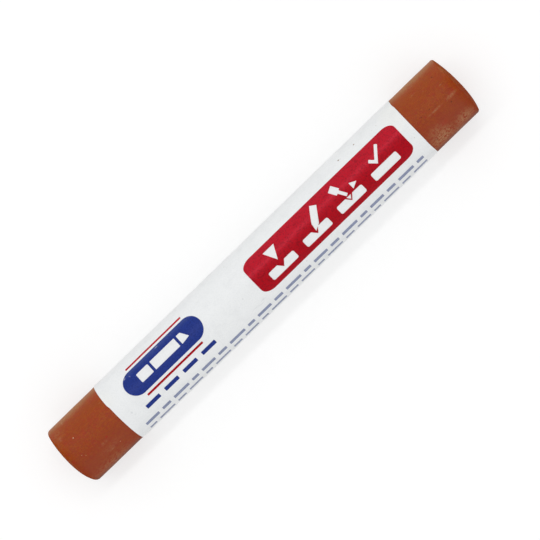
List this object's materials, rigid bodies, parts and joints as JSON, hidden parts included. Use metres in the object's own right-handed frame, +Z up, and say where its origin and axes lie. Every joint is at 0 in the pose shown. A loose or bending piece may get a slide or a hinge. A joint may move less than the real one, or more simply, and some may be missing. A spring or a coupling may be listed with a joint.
{
  "type": "furniture repair wax stick",
  "caption": "Coloured wax stick for filling scratches in furniture, with domed bare ends and a wound printed label round its middle.",
  "frame": {"origin": "on the surface that the stick lies on, under its middle: the middle of the bounding box's lower face", "axes": "+X along the stick, towards the end beside the red panel; +Z up, through the middle of the red panel; +Y across the stick"},
  "size_m": [0.086, 0.0112, 0.0113],
  "materials": {
    "wax": "cast brown wax, dull, with fine drawn streaks and a pale bloom",
    "adhesive": "clear pressure-sensitive adhesive",
    "label": "white label stock with a soft sheen",
    "red_ink": "printed red ink with a soft sheen",
    "blue_ink": "printed blue ink with a soft sheen",
    "fine_ink": "printed blue-grey ink"
  },
  "bodies": {
    "root": {"wax_stick": "wax", "adhesive_coat": "adhesive", "label_sheet": "label", "red_print": "red_ink", "blue_print": "blue_ink", "fine_print": "fine_ink"}
  },
  "joints": []
}
